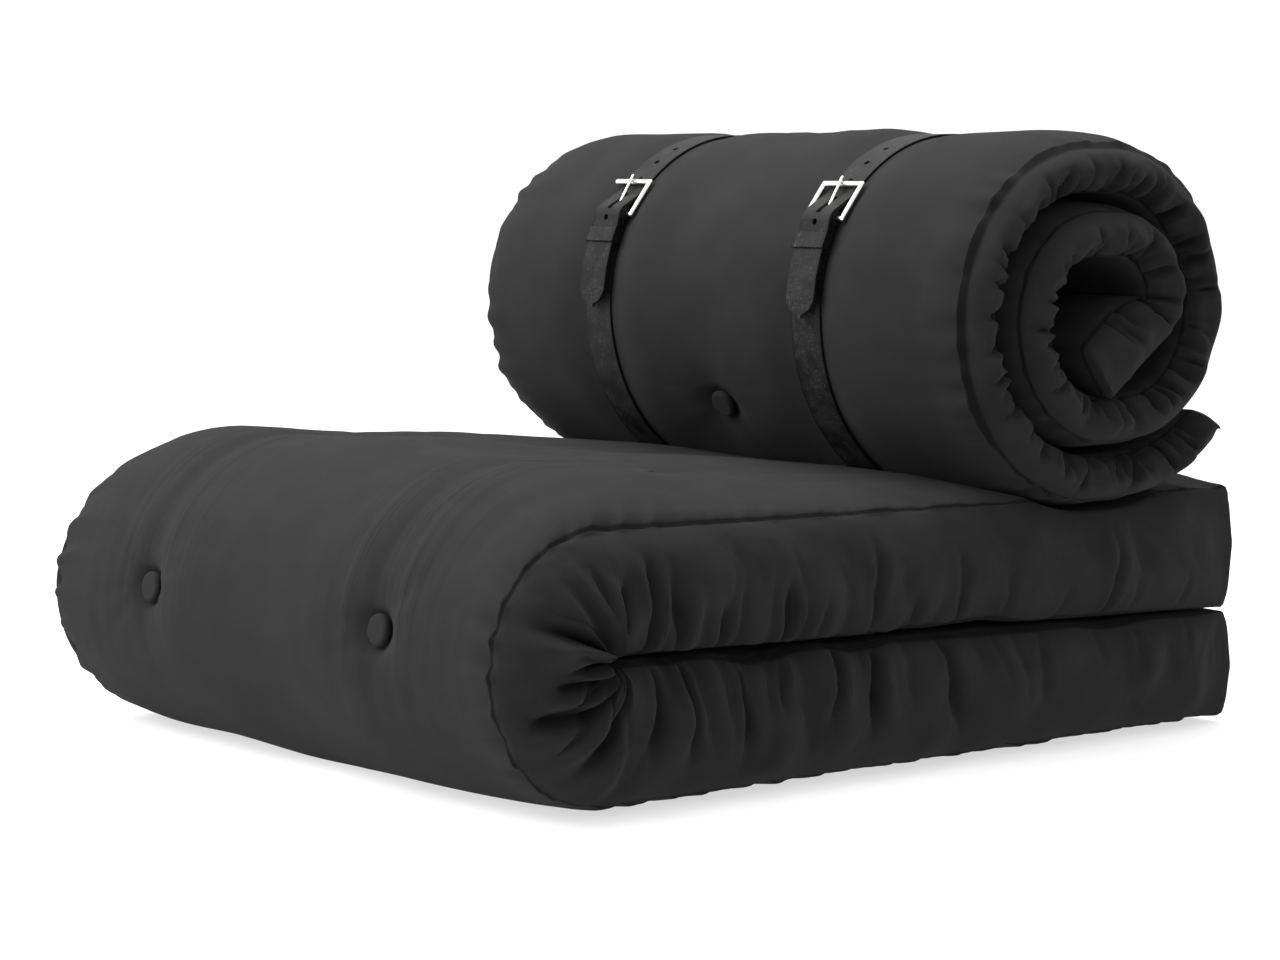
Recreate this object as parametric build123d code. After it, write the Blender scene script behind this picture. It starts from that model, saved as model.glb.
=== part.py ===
"""Futon lounge seat in millimetres: +Z up, the front fold towards -Y, the floor at zero.

One futon is folded in two for the seat, a second futon is rolled up for the back,
and two leather straps with buckles hold the roll.
"""
import os
from math import cos, radians, sin, sqrt

from build123d import *

# Seat futon, folded in two
SEAT_WIDTH = 700.0          # side seam to side seam
SEAT_DEPTH = 880.0          # front fold to the open ends at the back
FOLD_HEIGHT = 130.0         # height of the front fold line, where the upper half hinges
BACK_GAP_HEIGHT = 111.0     # height where the halves meet at the back
SIDE_HEIGHT = 240.0         # upper side seam just behind the front fold
BACK_HEIGHT = 229.0         # upper seam at the back
CROWN = 48.0                # rise of the seat's middle above its side seams
BACK_CROWN = 6.0            # the same at the back edge
CROWN_POWER = 3.2           # how flat the crown is across the width
DRAWN_IN = 9.0              # front and back edges stand back this much at the side seams
SEAM_DROP = 7.0             # each half's meeting face stands back this much at the seams
UNDERSIDE_LIFT = 9.0        # underside seams stand this far off the floor
UNDERSIDE_PRESS = 5.0       # depth of the underside that the floor presses flat
BORDER_BULGE = 24.0         # how far the side strips swell out past the seams
BORDER_STEPS = ((0.0, 0.0), (0.72, 0.3), (1.0, 1.0))  # share of the swell, share of the rounding
EDGE_ROUND = 10.0           # rounding of the ends at the back
CREASE_RUN = 14.0           # run of the slope from the crease to the meeting face

# Layers of the seat futon
COVER = 2.0                 # cotton cover with its lining
SLIP = 0.4                  # play between a layer and the next
MEETING_GAP = 0.5           # between the two halves
BATTING = 30.0              # cotton wrapped about the foam core
CORE_SIDE = 36.0            # core ends this far inside the side seams

# Tufts
BUTTON_RADIUS = 14.0
BUTTON_HEIGHT = 8.0
BUTTON_ROUND = 3.5
BUTTON_SEAT = 0.2           # play under a button
BUTTON_PLAY = 1.0           # play round a button
DIMPLE_OVER = 6.0           # how far a dimple's cone runs on above its rim
TUFT_RIM = 62.0             # radius of the dimple round an outer button
TUFT_DEPTH = 13.0
INNER_RIM = 40.0            # smaller dimples on faces that lie together
INNER_DEPTH = 9.0
TUFT_COLUMN = 185.0         # tufts stand in pairs this far each side of the middle
FREE_ROW = -150.0           # row of tufts on the open seat
ROLL_ROW = 240.0            # row of tufts under the roll
FRONT_TUFT_RISE = 20.0      # front pair above the fold line
TWINE_RADIUS = 1.5
TWINE_PLAY = 0.3

# Back futon, rolled up
BACK_THICKNESS = 50.0       # squeezed thickness in the roll
BACK_BULGE = 12.0           # swell of its side strips
ROLL_GAP = 4.0              # between turns
ROLL_FLAT = 29.0            # straight run at the top and at the bottom of each turn
ROLL_CORE = 72.0            # middle radius of the first quarter turn
TONGUE_BEND = 32.0          # middle radius where the inner end turns into the spiral
TONGUE_HEADING = 37.5       # slope of the inner end, degrees
ROLL_FRONT = 66.0           # front of the roll
ROLL_SHIFT = 12.0           # the roll lies this far to the right of the seat's middle
ROLL_BASE = 220.0           # underside of the roll
TAIL_BEND = 180.0           # middle radius of the outer end's upward curve
TAIL_RISE = 34.0            # slope of the outer end, degrees
TAIL_ROUND = 6.0            # rounding of the strap at the outer end
BACK_CORE = 20.0            # foam core of the back futon
ROLL_PLAY = 0.5             # between the roll and the seat under it
BACK_TUFT_RIM = 45.0
BACK_TUFT_DEPTH = 8.0
BACK_TUFTS = ((1, 23.0), (3, 262.0), (5, 80.0), (7, 212.0))  # quarter turn and its angle

# Straps and buckles
STRAP_WIDTH = 40.0
STRAP_THICKNESS = 3.0
STRAP_OFFSET = 156.0        # each side of the middle
STRAP_PLAY = 0.3
BAR_RADIUS = 2.8
BAR_PLAY = 0.4
FRONT_BAR_ANGLE = 135.0     # round the roll, degrees
FRAME_LENGTH = 39.0         # front bar to heel bar
FRAME_PLAY = 3.0            # strap edge to a side bar
PRONG_RADIUS = 1.6
PRONG_WIDTH = 5.0           # eye of the prong along its bar
PRONG_OVERHANG = 3.0        # prong past the front bar
HOLE_RADIUS = 3.0
HOLE_PITCH = 27.0
HOLES_ABOVE = 3
HOLES_BELOW = 1
PRONG_SLOT = 25.0           # length of the strap hole that the prong is in
LIFT_RUN = 30.0             # run in which the strap climbs over the heel bar
STRAP_BEND = 14.0           # bending radius in that run
FOLD_BACK = 32.0            # buckle end folded back and sewn
STITCH_RUN = 24.0           # heel bar to the stitches
KEEPER_RUN = 16.5           # heel bar to the keeper
KEEPER_WIDTH = 15.0
KEEPER_THICKNESS = 1.6
KEEPER_PLAY = 0.6
TIP_ANGLE = 182.0
TIP_BENDS = 4               # straight pieces from the keeper to the tip
TIP_LENGTH = 24.0           # pointed part of the tip
TIP_SHAPE = ((1.1, -1.0), (1.1, 0.25), (0.12, 0.25), (0.12, -0.02), (0.72, -0.45))
# cut at the tip, as shares of half the width and of the pointed length
STITCH_RADIUS = 0.6
STITCH_SPREAD = 12.0
STITCH_PLAY = 0.1

BIG = 2000.0                # size of cutting blocks


def crown(x):
    """Share of the crown at a distance x from the middle: one there, none at the seams."""
    return 1.0 - (abs(x) * 2.0 / SEAT_WIDTH) ** CROWN_POWER


def outline(points, arcs):
    """Close points with lines, and with an arc through a middle point where arcs names one."""
    edges = []
    for index, start in enumerate(points):
        end = points[(index + 1) % len(points)]
        if index in arcs:
            edges.append(ThreePointArc(start, arcs[index], end))
        else:
            edges.append(Line(start, end))
    return make_face(edges)


def corner(center, radius, turn):
    """Point on a circle at an angle."""
    return (center[0] + radius * cos(radians(turn)), center[1] + radius * sin(radians(turn)))


def lower_section(share, inset, opening):
    """Lower half from the side: fold's lower quarter, underside, back end, meeting face."""
    front = -SEAT_DEPTH / 2 + DRAWN_IN * (1 - share) + inset
    back = SEAT_DEPTH / 2 - DRAWN_IN * (1 - share) - inset
    low = UNDERSIDE_LIFT * (1 - share) - UNDERSIDE_PRESS * share + inset
    drop = MEETING_GAP / 2 + SEAM_DROP * (1 - share) + inset
    radius = FOLD_HEIGHT - low
    hub = (front + radius, FOLD_HEIGHT)
    crease = -SEAT_DEPTH / 2 + FOLD_HEIGHT - inset
    top = FOLD_HEIGHT - opening
    reach = sqrt(radius ** 2 - opening ** 2)
    points = [
        (hub[0] - reach, top),
        (hub[0], low),
        (back - EDGE_ROUND, low),
        (back, low + EDGE_ROUND),
        (back, BACK_GAP_HEIGHT - drop - EDGE_ROUND),
        (back - EDGE_ROUND, BACK_GAP_HEIGHT - drop),
        (crease + CREASE_RUN, FOLD_HEIGHT - drop),
        (crease, top),
    ]
    arcs = {
        0: corner(hub, radius, 225),
        2: corner((back - EDGE_ROUND, low + EDGE_ROUND), EDGE_ROUND, 315),
        4: corner((back - EDGE_ROUND, BACK_GAP_HEIGHT - drop - EDGE_ROUND), EDGE_ROUND, 45),
    }
    return outline(points, arcs)


def upper_section(share, inset, opening):
    """Upper half from the side: fold's upper quarter, crowned top, back end, meeting face."""
    front = -SEAT_DEPTH / 2 + DRAWN_IN * (1 - share) + inset
    back = SEAT_DEPTH / 2 - DRAWN_IN * (1 - share) - inset
    high = SIDE_HEIGHT + CROWN * share - inset
    end = BACK_HEIGHT + BACK_CROWN * share - inset
    rise = MEETING_GAP / 2 + SEAM_DROP * (1 - share) + inset
    radius = high - FOLD_HEIGHT
    hub = (front + radius, FOLD_HEIGHT)
    crease = -SEAT_DEPTH / 2 + FOLD_HEIGHT - inset
    low = FOLD_HEIGHT + opening
    reach = sqrt(radius ** 2 - opening ** 2)
    points = [
        (hub[0] - reach, low),
        (hub[0], high),
        (back - EDGE_ROUND, end),
        (back, end - EDGE_ROUND),
        (back, BACK_GAP_HEIGHT + rise + EDGE_ROUND),
        (back - EDGE_ROUND, BACK_GAP_HEIGHT + rise),
        (crease + CREASE_RUN, FOLD_HEIGHT + rise),
        (crease, low),
    ]
    arcs = {
        0: corner(hub, radius, 135),
        2: corner((back - EDGE_ROUND, end - EDGE_ROUND), EDGE_ROUND, 45),
        4: corner((back - EDGE_ROUND, BACK_GAP_HEIGHT + rise + EDGE_ROUND), EDGE_ROUND, 315),
    }
    return outline(points, arcs)


def at_x(face, x):
    """Stand a side view up at a distance along X."""
    return Plane.YZ.offset(x) * face


def middle_form(section, inset, opening, half):
    """Crowned body between two planes: side views joined across the width."""
    stations = (-half, -TUFT_COLUMN, 0.0, TUFT_COLUMN, half)
    return loft([at_x(section(crown(x), inset, opening), x) for x in stations])


def border_form(section, side, inset, opening):
    """Swollen side strip's body, from the seam outwards."""
    swell = BORDER_BULGE - inset
    faces = []
    for out, shrink in BORDER_STEPS:
        face = section(0.0, inset + BORDER_BULGE * shrink, opening)
        faces.append(at_x(face, side * (SEAT_WIDTH / 2 + swell * out)))
    return loft(faces)


def walk(point, heading, moves):
    """Chain of straight runs and arcs: each move is a radius, none for straight, and a size."""
    edges = []
    for radius, amount in moves:
        ahead = Vector(cos(radians(heading)), sin(radians(heading)))
        if radius:
            edges.append(JernArc(point, ahead, radius, amount))
            heading += amount
        else:
            edges.append(Line(point, Vector(*point) + ahead * amount))
        point = edges[-1] @ 1
    return edges, point


def quarter(index):
    """Middle radius of a quarter turn of the roll, growing by one turn's pitch over four."""
    return ROLL_CORE + (index - 1) * (BACK_THICKNESS + ROLL_GAP) / 4


HALF_BACK = BACK_THICKNESS / 2
LEFT = Vector(ROLL_FRONT + HALF_BACK, ROLL_BASE + HALF_BACK + quarter(7))
TOP = Vector(LEFT.X + quarter(6), LEFT.Y + quarter(6))
RIGHT = Vector(TOP.X + ROLL_FLAT + quarter(5), TOP.Y - quarter(5))
BOTTOM = Vector(LEFT.X + quarter(7), LEFT.Y - quarter(7))
INNER_BOTTOM = Vector(RIGHT.X - quarter(4) - ROLL_FLAT, RIGHT.Y - quarter(4))
INNER_LEFT = Vector(INNER_BOTTOM.X - quarter(3), INNER_BOTTOM.Y + quarter(3))
INNER_TOP = Vector(INNER_LEFT.X + quarter(2), INNER_LEFT.Y + quarter(2))
INNER_RIGHT = Vector(INNER_TOP.X + ROLL_FLAT + quarter(1), INNER_TOP.Y - quarter(1))
HUBS = {
    1: INNER_RIGHT - Vector(quarter(1), 0),
    3: INNER_LEFT + Vector(quarter(3), 0),
    5: RIGHT - Vector(quarter(5), 0),
    6: LEFT + Vector(quarter(6), 0),
    7: LEFT + Vector(quarter(7), 0),
}
TAIL_CORNER = TAIL_ROUND - HALF_BACK
TAIL_RUN = (
    quarter(5) + quarter(6) - quarter(7)
    - TAIL_BEND * sin(radians(TAIL_RISE))
    - TAIL_CORNER * (1 - sin(radians(TAIL_RISE)))
) / cos(radians(TAIL_RISE))
OUTER_TURN = [(quarter(5), 90), (0, ROLL_FLAT), (quarter(6), 90), (quarter(7), 90), (0, ROLL_FLAT),
              (TAIL_BEND, TAIL_RISE)]


def roll_path():
    """Middle line of the rolled futon, from its inner end out to its tail."""
    slope = radians(TONGUE_HEADING)
    bend = Vector(
        INNER_RIGHT.X - TONGUE_BEND * (1 - sin(slope)), INNER_RIGHT.Y - TONGUE_BEND * cos(slope)
    )
    clear = INNER_BOTTOM.Y + HALF_BACK + ROLL_GAP + COVER
    tongue = (bend.Y - HALF_BACK * cos(slope) - clear) / sin(slope)
    start = bend - Vector(cos(slope), sin(slope)) * tongue
    inner = [
        (0, tongue), (TONGUE_BEND, 90 - TONGUE_HEADING),
        (quarter(1), 90), (0, ROLL_FLAT), (quarter(2), 90),
        (quarter(3), 90), (0, ROLL_FLAT), (quarter(4), 90),
    ]
    moves = inner + OUTER_TURN + [(0, TAIL_RUN - COVER - ROLL_PLAY)]
    return Plane.YZ.offset(ROLL_SHIFT) * Wire(walk(start, TONGUE_HEADING, moves)[0])


def roll_outline(out):
    """Closed line round the roll and its tail, a distance out from the futon's middle."""
    moves = OUTER_TURN + [(0, TAIL_RUN), (TAIL_CORNER, 90 - TAIL_RISE)]
    moved = [(radius + out if radius else 0, amount) for radius, amount in moves]
    start = RIGHT + Vector(out, 0)
    edges, end = walk(start, 90, moved)
    edges.append(Line(end, start))
    return make_face(edges)


ROLL_PATH = roll_path()


def end_plane(place):
    """Plane across the roll's middle line: X along the width, Y outwards."""
    middle = ROLL_PATH @ place
    return Plane(origin=middle, x_dir=(1, 0, 0), z_dir=ROLL_PATH % place)


def back_slab(low, high, half):
    """Layer of the rolled futon between two distances from its middle line."""
    face = Pos(0, (low + high) / 2) * Rectangle(2 * half, high - low)
    return sweep(end_plane(0) * face, path=ROLL_PATH)


def border_edge(side, thin):
    """Swollen edge of the rolled futon's section, moved in by a thickness."""
    seam = SEAT_WIDTH / 2 * side
    level = HALF_BACK - thin
    return ThreePointArc(
        (seam, level), (seam + side * (BACK_BULGE - thin), 0), (seam, -level)
    )


def back_border(side):
    """Side strip of the rolled futon: a crescent carried along the middle line."""
    seam = SEAT_WIDTH / 2 * side
    rim = HALF_BACK - COVER
    edges = [
        border_edge(side, 0), Line((seam, -HALF_BACK), (seam, -rim)),
        border_edge(side, COVER), Line((seam, rim), (seam, HALF_BACK)),
    ]
    return sweep(end_plane(0) * make_face(edges), path=ROLL_PATH)


def back_end(place, way):
    """Cover across an end of the rolled futon."""
    seam = SEAT_WIDTH / 2
    edges = [
        border_edge(1, 0), Line((seam, -HALF_BACK), (-seam, -HALF_BACK)),
        border_edge(-1, 0), Line((-seam, HALF_BACK), (seam, HALF_BACK)),
    ]
    return extrude(end_plane(place) * make_face(edges), amount=COVER * way)


def dimple(place, rim, depth, inset):
    """Cone pressed in round a tuft, moved in by a layer's depth."""
    floor = BUTTON_RADIUS + BUTTON_PLAY
    slope = (rim - floor) / depth
    tall = depth + DIMPLE_OVER
    brim = floor + slope * tall
    cone = Pos(0, 0, tall / 2 - depth - inset) * Cone(floor, brim, tall)
    well = Pos(0, 0, DIMPLE_OVER * 1.5 - inset) * Cylinder(brim, DIMPLE_OVER)
    return place * (cone + well)


def button(place, depth):
    """Cloth-covered button on the floor of its dimple."""
    disc = Cylinder(BUTTON_RADIUS, BUTTON_HEIGHT)
    disc = fillet(disc.edges(), BUTTON_ROUND)
    return place * Pos(0, 0, BUTTON_HEIGHT / 2 - depth + BUTTON_SEAT) * disc


def rod(place, high, low, radius):
    """Round bar along a tuft's line."""
    return place * Pos(0, 0, (high + low) / 2) * Cylinder(radius, high - low)


def save(node, shape):
    """Write one node's solids."""
    export_step(shape, "parts/" + node + ".step")


def layers(section, cutter, tufts):
    """Cover, side strips, batting and core of one half of the seat, all cut for its tufts."""
    inner = COVER + SLIP
    core_inset = COVER + BATTING
    half = SEAT_WIDTH / 2
    core_half = half - CORE_SIDE

    def cut(shape, inset):
        tools = [dimple(place, rim, depth, inset) for place, rim, depth, low in tufts]
        return shape - (tools + cutter(inset))

    outer = cut(middle_form(section, 0.0, 0.0, half), 0.0)
    hollow = cut(middle_form(section, COVER, -COVER, half), COVER)
    fill = middle_form(section, inner, MEETING_GAP / 2, half)
    borders = []
    for side in (-1, 1):
        skin = cut(border_form(section, side, 0.0, 0.0), 0.0)
        void = cut(border_form(section, side, COVER, -COVER), COVER)
        borders.append(skin - void)
        fill = fill + border_form(section, side, inner, MEETING_GAP / 2)
    room = cut(middle_form(section, core_inset - SLIP, 0.0, core_half + SLIP), core_inset - SLIP)
    core = cut(middle_form(section, core_inset, MEETING_GAP / 2, core_half), core_inset)
    holes = [
        rod(place, 0.0, low - TUFT_DEPTH, TWINE_RADIUS + TWINE_PLAY)
        for place, rim, depth, low in tufts
        if low
    ]
    cover = (outer - hollow) - holes
    batting = (cut(fill, inner) - room) - holes
    return cover, borders, batting, core - holes


def flat_floor(inset):
    """Block under the floor, raised by a layer's depth."""
    return [Pos(0, 0, inset - BIG / 2) * Box(BIG, BIG, BIG)]


def cradle(inset):
    """Room in the seat's top for the roll and for the straps under it."""
    roll = make_part(roll_outline(HALF_BACK + ROLL_PLAY + inset), 0.0, SEAT_WIDTH)
    tools = [roll]
    deep = HALF_BACK + STRAP_PLAY + STRAP_THICKNESS + ROLL_PLAY + inset
    for side in (-1, 1):
        half = STRAP_WIDTH / 2 + ROLL_PLAY + inset
        tools.append(make_part(roll_outline(deep), strap_place(side), half))
    return tools


def strap_place(side):
    """Distance along X of a strap's middle."""
    return ROLL_SHIFT + side * STRAP_OFFSET


def make_part(face, x, half):
    """Side view given a width, both ways from a distance along X."""
    return extrude(at_x(face, x), amount=half, both=True)


def upper_top(share, y):
    """Height of the seat's top behind its shoulder."""
    high = SIDE_HEIGHT + CROWN * share
    front = -SEAT_DEPTH / 2 + DRAWN_IN * (1 - share) + high - FOLD_HEIGHT
    back = SEAT_DEPTH / 2 - DRAWN_IN * (1 - share) - EDGE_ROUND
    end = BACK_HEIGHT + BACK_CROWN * share
    return high + (end - high) * (y - front) / (back - front)


def meeting(y):
    """Height of the plane where the halves meet."""
    front = -SEAT_DEPTH / 2 + FOLD_HEIGHT
    back = SEAT_DEPTH / 2
    return FOLD_HEIGHT + (BACK_GAP_HEIGHT - FOLD_HEIGHT) * (y - front) / (back - front)


def roll_under(y):
    """Height of the roll's underside over the seat."""
    hub = HUBS[7]
    radius = quarter(7) + HALF_BACK
    return hub.Y - sqrt(max(radius ** 2 - (y - hub.X) ** 2, 0.0))


SHARE = crown(TUFT_COLUMN)
STEP = MEETING_GAP / 2 + SEAM_DROP * (1 - SHARE)


def tuft_plan():
    """Places of the seat's tufts: a plane on the face, the dimple's rim and depth, the twine's end."""
    upper = []
    lower = []
    for side in (-1, 1):
        x = side * TUFT_COLUMN
        high = SIDE_HEIGHT + CROWN * SHARE - FOLD_HEIGHT
        hub_y = -SEAT_DEPTH / 2 + DRAWN_IN * (1 - SHARE) + high
        reach = sqrt(high ** 2 - FRONT_TUFT_RISE ** 2)
        spot = Vector(x, hub_y - reach, FOLD_HEIGHT + FRONT_TUFT_RISE)
        crease = Vector(x, -SEAT_DEPTH / 2 + FOLD_HEIGHT, FOLD_HEIGHT + STEP + TWINE_RADIUS)
        front = Plane(origin=spot, x_dir=(1, 0, 0), z_dir=spot - crease)
        upper.append((front, TUFT_RIM, TUFT_DEPTH, -(spot - crease).length + COVER))
        rows = (
            (FREE_ROW, upper_top(SHARE, FREE_ROW), TUFT_RIM, TUFT_DEPTH),
            (ROLL_ROW, roll_under(ROLL_ROW), INNER_RIM, INNER_DEPTH + STRAP_THICKNESS),
        )
        for y, top, rim, depth in rows:
            middle = meeting(y)
            over = Plane(origin=(x, y, top), x_dir=(1, 0, 0), z_dir=(0, 0, 1))
            upper.append((over, rim, depth, middle + STEP + INNER_DEPTH - top))
            under = Plane(origin=(x, y, middle + STEP), x_dir=(1, 0, 0), z_dir=(0, 0, -1))
            upper.append((under, INNER_RIM, INNER_DEPTH, None))
            floor = Plane(origin=(x, y, 0), x_dir=(1, 0, 0), z_dir=(0, 0, -1))
            lower.append((floor, TUFT_RIM, TUFT_DEPTH, -(middle - STEP - INNER_DEPTH)))
            inside = Plane(origin=(x, y, middle - STEP), x_dir=(1, 0, 0), z_dir=(0, 0, 1))
            lower.append((inside, INNER_RIM, INNER_DEPTH, None))
    return lower, upper


STRAP_BASE = HALF_BACK + STRAP_PLAY
BUCKLE_RADIUS = quarter(6) + STRAP_BASE
BAR_LEVEL = STRAP_THICKNESS + BAR_PLAY + BAR_RADIUS
HEEL_ANGLE = FRONT_BAR_ANGLE + FRAME_LENGTH / radians(BUCKLE_RADIUS)
SIDE_BAR = STRAP_WIDTH / 2 + FRAME_PLAY + BAR_RADIUS


def on_roll(angle, level):
    """Point in the side view at an angle round the roll, a level above the strap's underside."""
    return corner((HUBS[6].X, HUBS[6].Y), BUCKLE_RADIUS + level, angle)


def along(run):
    """Angle of a place a run below the front bar."""
    return FRONT_BAR_ANGLE + run / radians(BUCKLE_RADIUS)


def sector(first, last, level):
    """Wedge of the side view between two angles, for cutting the strap's ring."""
    far = BUCKLE_RADIUS
    near = on_roll((first + last) / 2, -far / 2)
    return make_face(Polyline(near, on_roll(first, level), on_roll(last, level), close=True))


def strip(points, x, width, thickness):
    """Flat strip bent along points in the side view, with rounded bends."""
    line = Plane.YZ.offset(x) * FilletPolyline(*points, radius=STRAP_BEND)
    start = Plane(origin=line @ 0, x_dir=(1, 0, 0), z_dir=line % 0)
    return sweep(start * Rectangle(width, thickness), path=line)


def facing(run, level, x):
    """Plane on the roll's front looking outwards."""
    angle = radians(along(run))
    spot = on_roll(along(run), level)
    return Plane(origin=(x, spot[0], spot[1]), x_dir=(1, 0, 0), z_dir=(0, cos(angle), sin(angle)))


def pad(run, low, high, x, width, length):
    """Block on the roll's front between two levels."""
    return facing(run, (low + high) / 2, x) * Box(width, length, high - low)


FOLD_TOP = 2 * STRAP_THICKNESS + SLIP
KEEPER_LOW = FOLD_TOP + STITCH_PLAY
KEEPER_ROOM = KEEPER_LOW + KEEPER_THICKNESS
FREE_LEVEL = KEEPER_ROOM + KEEPER_PLAY + STRAP_THICKNESS / 2
LOOP_RADIUS = BAR_RADIUS + BAR_PLAY + STRAP_THICKNESS
LIFT_LEVEL = BAR_LEVEL + LOOP_RADIUS + STRAP_THICKNESS


def strap(x):
    """Whole strap: ring round the roll, loop at the heel bar, free end over it with its tip."""
    ring = roll_outline(STRAP_BASE + STRAP_THICKNESS) - roll_outline(STRAP_BASE)
    ring = ring - sector(along(-LIFT_RUN / 4), HEEL_ANGLE, 2 * BAR_LEVEL)
    heel = on_roll(HEEL_ANGLE, BAR_LEVEL)
    loop = Pos(*heel) * (Circle(LOOP_RADIUS) - Circle(BAR_RADIUS + BAR_PLAY))
    body = make_part(ring + loop, x, STRAP_WIDTH / 2)
    middle = STRAP_THICKNESS / 2
    free = [
        on_roll(along(-LIFT_RUN / 4), middle),
        on_roll(along(FRAME_LENGTH - LIFT_RUN), middle),
        on_roll(along(FRAME_LENGTH), LIFT_LEVEL),
        on_roll(along(FRAME_LENGTH + KEEPER_RUN), FREE_LEVEL),
    ]
    last = along(FRAME_LENGTH + KEEPER_RUN)
    for step in range(1, TIP_BENDS + 1):
        free.append(on_roll(last + (TIP_ANGLE - last) * step / TIP_BENDS, FREE_LEVEL))
    back = [
        on_roll(HEEL_ANGLE, BAR_LEVEL + LOOP_RADIUS - middle),
        on_roll(along(FRAME_LENGTH + FOLD_BACK / 2), STRAP_THICKNESS + SLIP + middle),
        on_roll(along(FRAME_LENGTH + FOLD_BACK), STRAP_THICKNESS + SLIP + middle),
    ]
    body = body + strip(free, x, STRAP_WIDTH, STRAP_THICKNESS)
    body = body + strip(back, x, STRAP_WIDTH, STRAP_THICKNESS)
    return body - strap_cuts(x)


def strap_cuts(x):
    """Holes for the prong, the slot it stands in, room for its eye, the pointed tip, the stitch holes."""
    deep = 4 * LIFT_LEVEL
    cuts = []
    for index in range(1, HOLES_ABOVE + 1):
        spot = facing(-index * HOLE_PITCH + FRAME_LENGTH / 2, 0, x)
        cuts.append(spot * Cylinder(HOLE_RADIUS, deep))
    for index in range(1, HOLES_BELOW + 1):
        run = index * HOLE_PITCH + FRAME_LENGTH / 2
        cuts.append(facing(run, FOLD_TOP + deep / 2 + STRAP_PLAY, x) * Cylinder(HOLE_RADIUS, deep))
    slot = FRAME_LENGTH - PRONG_SLOT / 2
    cuts.append(facing(slot, 0, x) * Box(2 * HOLE_RADIUS, PRONG_SLOT, deep))
    eye = 2 * LOOP_RADIUS + STRAP_PLAY
    cuts.append(facing(FRAME_LENGTH, BAR_LEVEL, x) * Box(2 * HOLE_RADIUS, eye, eye))
    tip_run = (TIP_ANGLE - FRONT_BAR_ANGLE) * radians(BUCKLE_RADIUS)
    tip = facing(tip_run, FREE_LEVEL, x)
    half = STRAP_WIDTH / 2
    for side in (-1, 1):
        corners = [(side * half * wide, TIP_LENGTH * far) for wide, far in TIP_SHAPE]
        wedge = make_face(Polyline(*corners, close=True))
        cuts.append(tip * Pos(0, 0, -STRAP_THICKNESS) * extrude(wedge, amount=2 * STRAP_THICKNESS))
    for place in stitch_places(x):
        cuts.append(place * Cylinder(STITCH_RADIUS + STITCH_PLAY, 2 * FOLD_TOP))
    return cuts


def stitch_places(x):
    """Where the folded-back end is sewn down."""
    run = FRAME_LENGTH + STITCH_RUN
    return [facing(run, FOLD_TOP / 2, x + side * STITCH_SPREAD) for side in (-1, 0, 1)]


def stitching(x):
    """Threads through both leathers."""
    return [place * Cylinder(STITCH_RADIUS, FOLD_TOP - 2 * STITCH_PLAY) for place in stitch_places(x)]


def keeper(x):
    """Leather loop round the free end, its foot sewn on the strap."""
    run = FRAME_LENGTH + KEEPER_RUN + KEEPER_WIDTH / 2
    high = FREE_LEVEL + STRAP_THICKNESS / 2 + KEEPER_PLAY
    room = STRAP_WIDTH + 2 * STRAP_PLAY
    block = pad(run, KEEPER_LOW, high + KEEPER_THICKNESS, x, room + 2 * KEEPER_THICKNESS, KEEPER_WIDTH)
    return block - pad(run, KEEPER_ROOM, high, x, room, 2 * KEEPER_WIDTH)


def frame_bar(first, last):
    """Round bar between two points."""
    way = last - first
    plane = Plane(origin=first, z_dir=way)
    return plane * Pos(0, 0, way.length / 2) * Cylinder(BAR_RADIUS, way.length)


def buckle_points(x):
    """Corners of the frame's middle line: heel bar ends, then front bar ends."""
    heel = on_roll(HEEL_ANGLE, BAR_LEVEL)
    front = on_roll(FRONT_BAR_ANGLE, BAR_LEVEL)
    return [
        Vector(x - SIDE_BAR, *heel), Vector(x + SIDE_BAR, *heel),
        Vector(x + SIDE_BAR, *front), Vector(x - SIDE_BAR, *front),
    ]


def buckle_frame(x):
    """Rectangular wire frame with rounded corners."""
    points = buckle_points(x)
    body = None
    for index, first in enumerate(points):
        bar = frame_bar(first, points[(index + 1) % 4]) + Pos(*first) * Sphere(BAR_RADIUS)
        body = bar if body is None else body + bar
    return body


def prong(x):
    """Prong: an eye round the heel bar and a pin that rests on the front bar."""
    heel = Vector(x, *on_roll(HEEL_ANGLE, BAR_LEVEL))
    rest = BAR_LEVEL + BAR_RADIUS + BAR_PLAY / 2 + PRONG_RADIUS
    slope = (rest - BAR_LEVEL) / FRAME_LENGTH
    high = rest + slope * PRONG_OVERHANG + BAR_PLAY
    tip = Vector(x, *on_roll(along(-PRONG_OVERHANG), high))
    way = tip - heel
    eye_out = BAR_RADIUS + BAR_PLAY / 2 + PRONG_RADIUS
    side_on = Plane(origin=heel, x_dir=(0, 1, 0), z_dir=(1, 0, 0))
    eye = side_on * Cylinder(eye_out, PRONG_WIDTH)
    pin = Plane(origin=heel, z_dir=way) * Pos(0, 0, way.length / 2) * Cylinder(PRONG_RADIUS, way.length)
    bore = side_on * Cylinder(BAR_RADIUS + BAR_PLAY / 2, 2 * PRONG_WIDTH)
    return (eye + pin + Pos(*tip) * Sphere(PRONG_RADIUS)) - bore


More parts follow.
